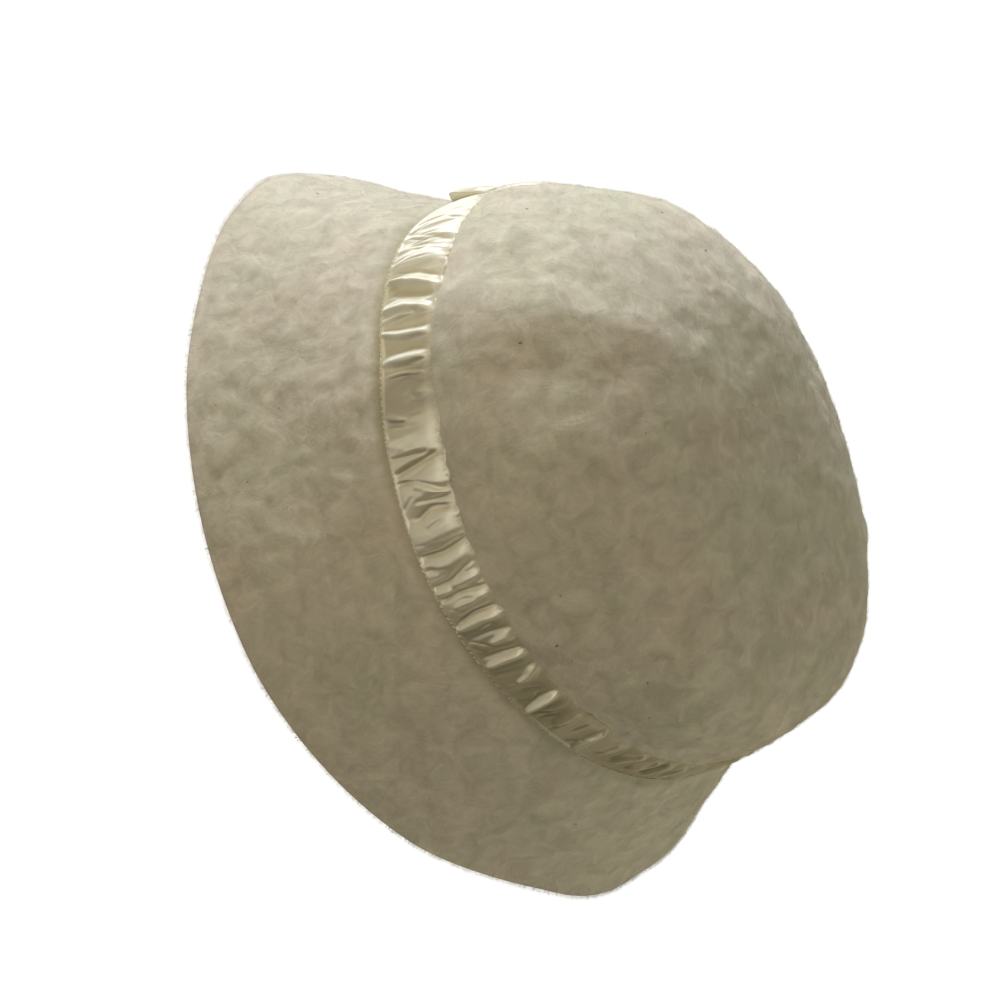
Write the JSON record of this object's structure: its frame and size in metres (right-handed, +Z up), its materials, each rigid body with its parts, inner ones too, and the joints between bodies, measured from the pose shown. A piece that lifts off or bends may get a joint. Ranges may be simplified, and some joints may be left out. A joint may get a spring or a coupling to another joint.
{
  "type": "angora felt cloche hat",
  "caption": "Soft rounded felt hat with a steep bell-shaped brim all round and a narrow gathered satin ribbon where crown and brim meet.",
  "frame": {"origin": "on the surface that the hat stands on, under the middle of the rim's box", "axes": "+Z up; -Y the front of the hat; +X its left side"},
  "size_m": [0.2268, 0.2845, 0.1447],
  "materials": {
    "felt": "brushed, soft nap",
    "ribbon": "satin"
  },
  "bodies": {
    "root": {"crown": "felt", "brim": "felt", "ribbon_band": "ribbon", "ribbon_tab": "ribbon"}
  },
  "joints": []
}
